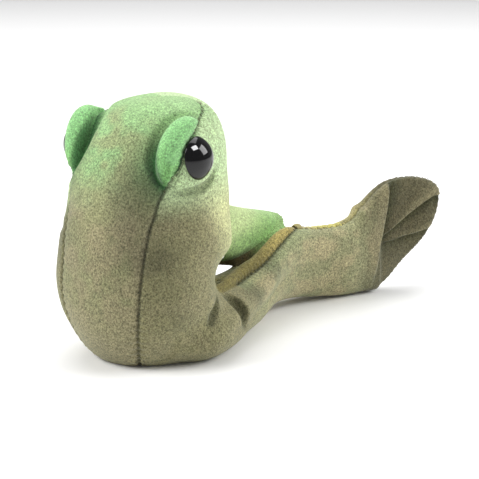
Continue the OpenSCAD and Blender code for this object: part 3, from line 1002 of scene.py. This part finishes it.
CROWN = srgb(154, 194, 132)
CROWN_TAN = srgb(160, 164, 118)
OLIVE = srgb(128, 138, 92)
BACK_TAN = srgb(147, 140, 106)
FLANK = srgb(140, 136, 98)
CHEEK = srgb(194, 219, 166)
PALE = srgb(204, 208, 150)
LIME = srgb(190, 210, 145)
LEAF = srgb(116, 174, 88)
LID_GREEN = srgb(146, 206, 134)
# Dark green of the groove round each eyelid: partly dye, partly painted shade.
DEEP_GREEN_AND_SHADE = srgb(30, 96, 44)
# Dark olive for painted shade: in creases, under the rolled hem, at the sleeve's rim and in the fin's
# folds; on the flanks partly dye as well.
DARK_OLIVE_SHADE = srgb(60, 62, 36)
TAIL_TAN = srgb(178, 168, 128)
TAIL_GREEN = srgb(146, 150, 110)
FIN_BROWN = srgb(98, 92, 66)
OCHRE = srgb(176, 160, 92)
# Pale green for a painted highlight beside the rolled hem on the tail.
PALE_GREEN_HIGHLIGHT = srgb(158, 172, 124)
YELLOW = srgb(206, 196, 112)
HEM_BROWN = srgb(84, 72, 34)
ROLL_TAN = srgb(122, 112, 60)
# Soft marks on the cloth, partly sprayed dye, partly painted shade and painted light: x, y, z, radius,
# how dark (negative for a pale one)
AIRBRUSH_SHADE_AND_LIGHT = [
    [-14, -11, 64, 7, 0.22],
    [-16.5, -9.5, 57, 8, 0.25],
    [-13.8, -15.5, 58.5, 6, 0.3],
    [-19, -10, 49, 8, 0.3],
    [-21.8, -1, 50, 8, -0.3],
    [-17.3, -18.5, 37.6, 5, 0.25],
    [-15, -21, 39, 5, 0.2],
    [-19.5, -12, 38, 7, 0.28],
    [8, -24, 49, 7, -0.3],
    [-15, 19, 42, 9, 0.3],
    [-10.9, -23.4, 17.3, 4.5, 0.25],
    [28.8, -25.1, 16.8, 4.5, 0.4],
    [44.2, -23, 21.3, 6, 0.35],
    [32.5, -26.3, 14.6, 3.5, 0.25],
]
LINING = srgb(150, 140, 104)
BELLY = srgb(184, 186, 132)


def cloud(points, size, seed):
    """Soft random values from 0 to 1 whose blotches are about size mm across."""
    cells = np.ceil((GRID_HIGH - GRID_LOW) / size).astype(int) + 2
    lattice = np.random.default_rng(seed).random(cells)
    at = (points - GRID_LOW) / size
    low = np.clip(np.floor(at).astype(int), 0, cells - 2)
    return between(lattice, low, ramp(at - low, 0, 1))


def mix(a, b, t):
    """One colour over another at every place, t being an array."""
    t = np.asarray(t)[:, None]
    return a * (1 - t) + b * t


def blotches(points, seed, sharp=0.16):
    """Airbrushed blotches, 0 or 1 with soft edges."""
    value = 0.6 * cloud(points, 7, seed) + 0.4 * cloud(points, 3.1, seed + 1)
    return ramp(value, 0.5 - sharp, 0.5 + sharp)


def paint_torso(p, name, shapes):
    z = p[:, 2] + 8 * (cloud(p, 13, 3) - 0.5)
    turn = body_turn(p)[0]
    spots = blotches(p, 11)
    if name == "back_skin":
        low = mix(BACK_TAN, OLIVE, 0.4 * spots * ramp(z, 6, 30))
        colour = mix(low, mix(CROWN, CROWN_TAN, 0.75 * spots * ramp(turn, 60, 10)), ramp(z, 49, 70))
        colour = mix(colour, CROWN, 0.8 * ramp(z, 74, 82))
        lid = shapes.cut_lid(p)
        # Dark green round the eyelid's groove: partly dye, partly painted shade.
        colour = mix(colour, DEEP_GREEN_AND_SHADE, 0.4 * ramp(lid, 10, 1) * ramp(p[:, 2], 80, 68))
        colour = mix(colour, DEEP_GREEN_AND_SHADE, 0.9 * ramp(lid, 3.4, 0.2))
    elif name == "belly_skin":
        colour = mix(BELLY, CHEEK, ramp(z, 40, 70))
    else:
        colour = mix(FLANK, BACK_TAN, spots * 0.5)
        # Darker near the back seam: partly airbrushed dye, partly painted shade.
        colour = mix(colour, DARK_OLIVE_SHADE, 0.22 * ramp(turn, 80, 50) * ramp(z, 10, 30))
        colour = mix(colour, PALE, 0.85 * ramp(p[:, 0] + 0.25 * z, 9, 27) * ramp(z, 14, 40))
        colour = mix(colour, CHEEK, ramp(z, 46, 62))
        colour = mix(colour, CROWN, 0.7 * ramp(z, 72, 81))
    # Painted shade in the slit, the dent at the tail's root and the creases under the eyes.
    bags = [(round_eye(side, BAG_CREASE), 0.75, 0.5) for side in (-1, 1)]
    for crease, shade, reach in [(FLANK_SLIT, 0.75, 1.2), (ROOT_DENT, 0.75, 1.5), *bags]:
        far = rope(*p.T, curve(crease, 24))
        colour = mix(colour, DARK_OLIVE_SHADE, shade * ramp(far, reach, -0.4))
    return mix(colour, ROLL_TAN, ramp(shapes.cut_roll(p), 0.2, -0.2))


def airbrush_shade_and_light(p):
    """How much each place is darkened or lightened by the soft marks: partly sprayed dye, partly painted
    shade and painted light.
    """
    tone = np.ones(len(p))
    for x, y, z, size, depth in AIRBRUSH_SHADE_AND_LIGHT:
        tone *= 1 - depth * np.exp(-np.sum((p - [x, y, z]) ** 2, 1) / size**2)
    return tone


def paint_lid(p):
    x, y, z = p[:, 0], np.abs(p[:, 1]), p[:, 2]
    groove = rope(x, y, z, curve(round_eye(1, LID_GROOVE), 24))
    colour = mix(LID_GREEN, LEAF, 0.6 * blotches(p, 21) * ramp(z, 76, 62))
    # Dark green where the lid meets its groove: partly dye, partly painted shade.
    return mix(colour, DEEP_GREEN_AND_SHADE, 0.75 * ramp(groove, 1.8, -0.6))


def paint_sleeve(p, name):
    height = rim_height(p[:, 0], p[:, 2])
    colour = mix(LIME, PALE, 0.7 * ramp(p[:, 0], 40, 30))
    # Darker green towards the rim: partly airbrushed dye, partly painted shade.
    colour = mix(colour, LEAF, 0.8 * ramp(height + 5 * cloud(p, 6, 31), 17, 3))
    # Painted shade at the rim's back end, beside the body.
    colour = mix(colour, DARK_OLIVE_SHADE, 0.7 * ramp(height, 4.6, 3.2) * ramp(p[:, 0], 54, 44))
    if name == "sleeve_hem_skin":
        # The hem: brown at its back end, partly its own colour and partly painted shade; green with
        # painted shade at its front end.
        colour = mix(HEM_BROWN, 0.25 * LIME + 0.55 * LEAF + 0.2 * DARK_OLIVE_SHADE, ramp(p[:, 0], 44, 56))
    if name == "sleeve_lining_skin":
        colour = mix(LINING, HEM_BROWN, 0.4 * blotches(p, 35))
    return colour


def paint_tail(p, name, shapes):
    spots = blotches(p, 41)
    run = p[:, 0]
    if name in ("hem_roll", "hem_roll_end"):
        colour = mix(ROLL_TAN, OCHRE, ramp(run, 34, 58))
        return mix(colour, TAIL_TAN, 0.8 * ramp(run, 62, 68))
    if "strip" in name:
        return mix(TAIL_TAN, YELLOW, ramp(run, 70, 80))
    colour = mix(TAIL_TAN, TAIL_GREEN, 0.75 * spots)
    colour = mix(mix(FLANK, BACK_TAN, spots * 0.5), colour, ramp(run, 18, 40))
    if "left" in name:
        colour = mix(colour, OCHRE, 0.5 * ramp(cut_tail(p), 11, 3))
    roll = shapes.cut_roll(p)
    # Painted highlight: a pale band on the tail beside the rolled hem.
    colour = mix(colour, PALE_GREEN_HIGHLIGHT, 0.5 * ramp(roll, 6, 2))
    # Painted shadow of the rolled hem on the tail.
    colour = mix(colour, DARK_OLIVE_SHADE, 0.6 * ramp(roll, 1.3, 0.1))
    colour = mix(colour, FIN_BROWN, ramp(cut_fin(p), 2, 18))
    if "fin_right" in name:
        folds = fin_folds(fin_local(p[:, 0], p[:, 1])[0], p[:, 2])
        # Painted shade in the hollows of the folds, and painted light on their crests.
        colour = mix(colour, DARK_OLIVE_SHADE, 0.75 * ramp(folds, -0.1, -1.3))
        colour = mix(colour, TAIL_TAN, 0.35 * ramp(folds, 0.2, 1.0))
    return colour


def paint(points, name, shapes, dark):
    """The colour at each place of a piece of cloth, with painted shade in its seams."""
    zone = CLOTH[name][0]
    if "eyelid" in name:
        colour = paint_lid(points)
    elif name == "pocket_lining":
        colour = mix(LINING, HEM_BROWN, 0.3 * blotches(points, 51))
    elif zone == "torso":
        colour = paint_torso(points, name, shapes)
    elif zone == "sleeve":
        colour = paint_sleeve(points, name)
    else:
        colour = paint_tail(points, name, shapes)
    fine = 0.86 + 0.28 * cloud(points, 1.1, 61)
    # Fine grain, the soft marks of dye, painted shade and painted light, and painted shade in the seams.
    tone = fine * airbrush_shade_and_light(points) * (1 - 0.6 * ramp(dark, 0.25, 0.9))
    return np.clip(colour * tone[:, None], 0, 1)


# ---- materials

def new_material(name, base, rough):
    """A material, its nodes, its links and its shader."""
    material = bpy.data.materials.new(name)
    material.use_nodes = True
    tree = material.node_tree
    shader = tree.nodes["Principled BSDF"]
    shader.inputs["Base Color"].default_value = (*base, 1)
    shader.inputs["Roughness"].default_value = rough
    return material, tree, shader


def textured(name, base, rough):
    """The same as new_material, with a node for places on the piece."""
    material, tree, shader = new_material(name, base, rough)
    return material, tree, shader, tree.nodes.new("ShaderNodeTexCoord")


def painted(tree):
    """The colour that is stored in the mesh."""
    colour = tree.nodes.new("ShaderNodeAttribute")
    colour.attribute_name = "paint"
    return colour.outputs["Color"]


def add_noise(tree, place, scale, detail, distort=0.0, stretch=(1, 1, 1)):
    mapping = tree.nodes.new("ShaderNodeMapping")
    mapping.inputs["Scale"].default_value = stretch
    noise = tree.nodes.new("ShaderNodeTexNoise")
    noise.inputs["Scale"].default_value = scale
    noise.inputs["Detail"].default_value = detail
    noise.inputs["Roughness"].default_value = 0.65
    noise.inputs["Distortion"].default_value = distort
    tree.links.new(place.outputs["Object"], mapping.inputs["Vector"])
    tree.links.new(mapping.outputs["Vector"], noise.inputs["Vector"])
    return noise.outputs["Fac"]


def remap(tree, value, low, high, to_low, to_high):
    node = tree.nodes.new("ShaderNodeMapRange")
    for name, number in zip(("From Min", "From Max", "To Min", "To Max"), (low, high, to_low, to_high)):
        node.inputs[name].default_value = number
    tree.links.new(value, node.inputs["Value"])
    return node.outputs["Result"]


def mixed(tree, kind, factor, a, b):
    """A colour mix; factor, a and b are sockets, numbers or colours."""
    node = tree.nodes.new("ShaderNodeMix")
    node.data_type = "RGBA"
    node.blend_type = kind
    for socket, value in ((node.inputs[0], factor), (node.inputs[6], a), (node.inputs[7], b)):
        if isinstance(value, bpy.types.NodeSocket):
            tree.links.new(value, socket)
        else:
            socket.default_value = value
    return node.outputs[2]


def bumped(tree, shader, heights):
    """Bumps from several sockets, each with a strength and a depth in millimetres."""
    normal = None
    for value, strength, depth in heights:
        bump = tree.nodes.new("ShaderNodeBump")
        bump.inputs["Strength"].default_value = strength
        bump.inputs["Distance"].default_value = depth * MM
        tree.links.new(value, bump.inputs["Height"])
        if normal is not None:
            tree.links.new(normal, bump.inputs["Normal"])
        normal = bump.outputs["Normal"]
    tree.links.new(normal, shader.inputs["Normal"])


def velour(name, speckle=1.0, sheen=0.25):
    """Short pile: painted colour, broken up by fibre tips, with a soft edge of sheen."""
    material, tree, shader, place = textured(name, (0.5, 0.5, 0.4), 0.92)
    tufts = add_noise(tree, place, 1900, 3, 0.6, (1, 1, 0.85))
    fibres = add_noise(tree, place, 2400, 2, 1.6, (1, 1, 0.6))
    shade = remap(tree, tufts, 0.36, 0.64, 1 - 0.54 * speckle, 1 + 0.5 * speckle)
    tips = remap(tree, fibres, 0.52, 0.74, 0.0, 0.34 * speckle)
    base = mixed(tree, "MULTIPLY", 1.0, painted(tree), shade)
    light = mixed(tree, "ADD", tips, base, (0.15, 0.16, 0.11, 1))
    tree.links.new(light, shader.inputs["Base Color"])
    shader.inputs["Sheen Weight"].default_value = sheen
    shader.inputs["Sheen Roughness"].default_value = 0.55
    shader.inputs["Sheen Tint"].default_value = (0.9, 0.95, 0.8, 1)
    shader.inputs["Specular IOR Level"].default_value = 0.15
    bumped(tree, shader, [(tufts, 0.5, 0.35), (fibres, 0.5, 0.18)])
    return material


def woven(name):
    """Thin lining cloth with crossing threads."""
    material, tree, shader, place = textured(name, (0.3, 0.27, 0.18), 0.85)
    waves = []
    for axis in ("X", "Y", "Z"):
        wave = tree.nodes.new("ShaderNodeTexWave")
        wave.bands_direction = axis
        wave.inputs["Scale"].default_value = 420
        wave.inputs["Distortion"].default_value = 0.6
        tree.links.new(place.outputs["Object"], wave.inputs["Vector"])
        waves.append(wave.outputs["Fac"])
    both = mixed(tree, "MULTIPLY", 0.6, waves[0], waves[1])
    weave = mixed(tree, "MULTIPLY", 0.6, both, waves[2])
    shade = remap(tree, weave, 0.0, 1.0, 0.7, 1.15)
    base = mixed(tree, "MULTIPLY", 1.0, painted(tree), shade)
    tree.links.new(base, shader.inputs["Base Color"])
    bumped(tree, shader, [(weave, 0.4, 0.12)])
    return material


def fluff(name):
    """Polyester filling."""
    material, tree, shader, place = textured(name, (0.8, 0.8, 0.77), 1.0)
    clumps = add_noise(tree, place, 260, 5, 2.0)
    base = mixed(tree, "MIX", clumps, (0.72, 0.71, 0.66, 1), (0.88, 0.88, 0.86, 1))
    tree.links.new(base, shader.inputs["Base Color"])
    bumped(tree, shader, [(clumps, 0.8, 1.2)])
    return material


def sewing_thread(name, colour):
    """Twisted thread."""
    material, tree, shader, place = textured(name, colour, 0.7)
    twist = add_noise(tree, place, 5200, 2, 0.5)
    dark = tuple(c * 0.6 for c in colour)
    base = mixed(tree, "MIX", twist, (*dark, 1), (*colour, 1))
    tree.links.new(base, shader.inputs["Base Color"])
    bumped(tree, shader, [(twist, 0.4, 0.08)])
    return material


def glossy_black(name):
    """Polished moulded plastic with the faintest wear."""
    material, tree, shader, place = textured(name, (0.004, 0.004, 0.0045), 0.04)
    wear = add_noise(tree, place, 420, 4, 0.4)
    tree.links.new(remap(tree, wear, 0.4, 0.75, 0.03, 0.075), shader.inputs["Roughness"])
    shader.inputs["IOR"].default_value = 1.4
    shader.inputs["Coat Weight"].default_value = 0.1
    shader.inputs["Coat Roughness"].default_value = 0.03
    return material


def washer_plastic(name):
    """Dull moulded plastic."""
    material, tree, shader, place = textured(name, (0.28, 0.28, 0.29), 0.55)
    grain = add_noise(tree, place, 1500, 3)
    base = mixed(tree, "MIX", grain, (0.22, 0.22, 0.23, 1), (0.33, 0.33, 0.34, 1))
    tree.links.new(base, shader.inputs["Base Color"])
    bumped(tree, shader, [(grain, 0.25, 0.05)])
    return material


# ---- pieces

def new_mesh(name, points, faces, material):
    mesh = bpy.data.meshes.new(name)
    mesh.from_pydata((points * MM).tolist(), [], faces.tolist())
    mesh.polygons.foreach_set("use_smooth", [True] * len(mesh.polygons))
    mesh.materials.append(material)
    piece = bpy.data.objects.new(name, mesh)
    bpy.context.scene.collection.objects.link(piece)
    return piece


def follow(piece):
    """Bakes the piece's placing into its mesh."""
    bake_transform(piece)


def cut_out(faces):
    """The points that some faces use, and the faces renumbered to them."""
    used, numbers = np.unique(faces, return_inverse=True)
    return used, numbers.reshape(faces.shape)


def add_cloth(cloth, materials):
    """One piece for each name, with its share of the skin."""
    for number, name in enumerate(NAMES):
        faces = cloth.faces[cloth.labels == number]
        zone, slot, nodes = CLOTH[name]
        used, faces = cut_out(faces)
        piece = new_mesh(name, cloth.points[used], faces, materials[slot])
        colours = paint(cloth.points[used], name, cloth.shapes, cloth.dark[used])
        layer = piece.data.color_attributes.new("paint", "FLOAT_COLOR", "POINT")
        layer.data.foreach_set("color", np.concatenate([colours, np.ones((len(used), 1))], 1).ravel())
        piece.data.normals_split_custom_set_from_vertices(cloth.normals[used])
        follow(piece)
        if nodes:
            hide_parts(*nodes)


def tube(path, radius, sides):
    """Points and quads of a thin closed tube along a path."""
    rings = []
    for i, place in enumerate(path):
        ahead = path[min(i + 1, len(path) - 1)] - path[max(i - 1, 0)]
        ahead = ahead / max(np.linalg.norm(ahead), 1e-9)
        side = np.cross(ahead, [0.3, 0.2, 0.93])
        side = side / max(np.linalg.norm(side), 1e-9)
        up = np.cross(ahead, side)
        turn = np.linspace(0, 2 * math.pi, sides, endpoint=False)
        thick = radius * (0.55 if i in (0, len(path) - 1) else 1)
        rings.append(place + thick * (np.cos(turn)[:, None] * side + np.sin(turn)[:, None] * up))
    k, quads = ring_quads(len(path), sides)
    return np.concatenate(rings), [list(f) for f in quads] + [list(k[0][::-1]), list(k[-1])]


def joined(parts):
    """Several sets of points and faces as one."""
    points, faces, count = [], [], 0
    for some_points, some_faces in parts:
        points.append(some_points)
        faces += [[int(k) + count for k in f] for f in some_faces]
        count += len(some_points)
    return np.concatenate(points), np.array(faces, dtype=object)


def add_threads(cloth, material):
    """The stitches of all seams, in one piece for each zone."""
    for zone, stitches in cloth.stitches.items():
        if not stitches:
            continue
        points, faces = joined([tube(path, THREAD_R, 6) for path in stitches])
        piece = new_mesh(f"seam_thread_{zone}", points, faces, material)
        follow(piece)


# The bartack: its number of loops, their radius at the middle, their pitch and the thread's radius
KNOT_TURNS, KNOT_R, KNOT_PITCH, KNOT_THREAD_R = 9, 1.75, 0.3, 0.2


def add_knot(material):
    """The bartack: a close winding of thread over the end of the rolled hem."""
    at = np.array(HEM_ROLL[-1][:3]) + [0.4, 0, 0.2]
    loops = []
    for i in range(KNOT_TURNS):
        turn = np.linspace(0, 2 * math.pi, 17)[:-1] + i
        off = i - KNOT_TURNS / 2
        r = KNOT_R - 0.05 * abs(off)
        loop = np.stack([0 * turn + off * KNOT_PITCH, r * np.cos(turn), r * np.sin(turn)], 1)
        loops.append(tube(np.concatenate([at + loop, (at + loop)[:1]]), KNOT_THREAD_R, 6))
    points, faces = joined(loops)
    knot = new_mesh("bartack_thread", points, faces, material)
    follow(knot)
    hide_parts("tail_bartack")


# Fillings are made on every second step of the grid, with this gap at each side of a cut
COARSE, FILLING_GAP = 2, 0.4


def add_fillings(shapes, material):
    """Loose filling inside the cloth, in one closed piece for each zone."""
    field = shapes.field[::COARSE, ::COARSE, ::COARSE] + SKIN
    x, y, z = X[::COARSE], Y[:, ::COARSE], Z[:, :, ::COARSE]
    root, tip, fin = past_root(x, z), past_tip(x, y), past_fin(x, y)
    limits = {
        "torso": [root + FILLING_GAP],
        "root": [FILLING_GAP - root, tip + FILLING_GAP],
        "tip": [FILLING_GAP - tip, fin + FILLING_GAP],
        "fin": [FILLING_GAP - fin],
    }
    for name, (zone, nodes, fill) in FILLINGS.items():
        part = field
        for limit in limits[zone]:
            part = smooth_max(part, np.broadcast_to(limit, field.shape).astype(np.float32), 1.0)
        points, quads = surface(part, VOXEL * COARSE)
        piece = new_mesh(name, points, quads, material)
        follow(piece)
        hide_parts(*nodes)


# The eye's steps round its middle and up its dome
EYE_SIDES, EYE_ROWS = 96, 22
# From the eye's rim to the end of its shank: distance from its middle, and distance outwards
EYE_BACK = [
    (EYE_R - 0.05, -0.25), (EYE_R - 0.3, -0.4), (3.2, -0.5), (2.5, -0.7),
    (2.2, -1.2), (2.2, -9.4), (1.6, -9.9),
]


def add_eye(side, name, node, material):
    """Dome, rim and shank, turned in one piece."""
    ball = (EYE_R**2 + EYE_H**2) / (2 * EYE_H)
    arc = np.linspace(0.004, math.asin(EYE_R / ball), EYE_ROWS)
    profile = [(ball * math.sin(a), EYE_H - ball + ball * math.cos(a)) for a in arc] + EYE_BACK
    turn = np.linspace(0, 2 * math.pi, EYE_SIDES, endpoint=False)
    rings = [
        np.array([eye_place(side, r * math.cos(a), r * math.sin(a) * side, w) for a in turn])
        for r, w in profile
    ]
    k, quads = ring_quads(len(rings), EYE_SIDES)
    # The rings run from the front to the back, so the quads are turned over
    quads = [list(f) for f in quads[:, [0, 3, 2, 1]]]
    faces = np.array(quads + [list(k[0]), list(k[-1][::-1])], dtype=object)
    eye = new_mesh(name, np.concatenate(rings), faces, material)
    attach(eye, "head")
    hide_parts(node)


# ---- camera and light

AZIMUTH, ELEVATION = math.radians(-57), math.radians(15.5)
DISTANCE, LENS = 439.0, 100.0
LOOK_RIGHT, LOOK_UP = 32.2, 36.5


def add_camera():
    """The camera looks at the origin from behind the right side, and is then shifted."""
    a, e = AZIMUTH, ELEVATION
    back = Vector((math.sin(a) * math.cos(e), -math.cos(a) * math.cos(e), math.sin(e)))
    right = Vector((math.cos(a), math.sin(a), 0))
    up = back.cross(right)
    data = bpy.data.cameras.new("camera")
    data.lens = LENS
    data.clip_start, data.clip_end = 0.01, 20
    camera = bpy.data.objects.new("camera", data)
    place = (back * DISTANCE + right * LOOK_RIGHT + up * LOOK_UP) * MM
    turn = Matrix((right, up, back)).transposed()
    camera.matrix_world = Matrix.Translation(place) @ turn.to_4x4()
    bpy.context.scene.collection.objects.link(camera)
    bpy.context.scene.camera = camera


def add_light(name, place, target, size, power, glossy_only=False):
    """A soft light; with glossy_only it is seen just as a reflection."""
    data = bpy.data.lights.new(name, "AREA")
    data.shape = "RECTANGLE"
    data.size, data.size_y = size
    data.energy = power
    light = bpy.data.objects.new(name, data)
    place = Vector(place)
    light.location = place
    light.rotation_euler = (place - Vector(target)).to_track_quat("Z", "Y").to_euler()
    light.visible_diffuse = not glossy_only
    bpy.context.scene.collection.objects.link(light)


def add_floor():
    mesh = bpy.data.meshes.new("floor")
    mesh.from_pydata([(-4, -4, 0), (4, -4, 0), (4, 4, 0), (-4, 4, 0)], [], [(0, 1, 2, 3)])
    floor = bpy.data.objects.new("floor", mesh)
    mesh.materials.append(new_material("floor_white", (0.93, 0.93, 0.93), 0.6)[0])
    bpy.context.scene.collection.objects.link(floor)


def add_world():
    world = bpy.data.worlds.new("studio")
    world.use_nodes = True
    world.node_tree.nodes["Background"].inputs[0].default_value = (1, 1, 1, 1)
    world.node_tree.nodes["Background"].inputs[1].default_value = 0.24
    bpy.context.scene.world = world
    bpy.context.scene.view_settings.view_transform = "Standard"


add_camera()
add_floor()
add_light("key", (-0.75, 0.65, 0.9), (0.03, 0, 0.04), (0.6, 0.6), 16)
add_light("side", (0.62, -0.86, 0.7), (0.03, 0, 0.04), (0.7, 0.7), 12)
add_light("window", (-0.06, -0.42, 0.7), EYE * MM, (0.34, 0.26), 7, glossy_only=True)
add_light("top", (0.42, 0.34, 1.25), (0.03, 0, 0), (1.2, 1.2), 13)
add_world()

materials = {
    "back_plush": velour("back_velour"),
    "side_plush": velour("side_velour"),
    "green_plush": velour("green_velour", 0.85, 0.3),
    "belly_plush": velour("belly_velour"),
    "hem_plush": velour("hem_velour", 1.1, 0.2),
    "lining": woven("lining_cloth"),
    "stuffing": fluff("polyester_filling"),
    "eye_black": glossy_black("eye_gloss"),
    "washer_grey": washer_plastic("washer_plastic"),
    "thread": sewing_thread("olive_thread", (0.09, 0.09, 0.035)),
}
shapes = Shapes()
cloth = Cloth(shapes)
add_cloth(cloth, materials)
add_threads(cloth, materials["thread"])
add_knot(sewing_thread("ochre_thread", (0.42, 0.36, 0.14)))
add_fillings(shapes, materials["stuffing"])
add_eye(-1, "right_eye_dome", "right_eye", materials["eye_black"])
add_eye(1, "left_eye_dome", "left_eye", materials["eye_black"])
for node in ("right_eye_washer", "left_eye_washer"):
    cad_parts[node].data.materials.clear()
    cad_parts[node].data.materials.append(materials["washer_grey"])
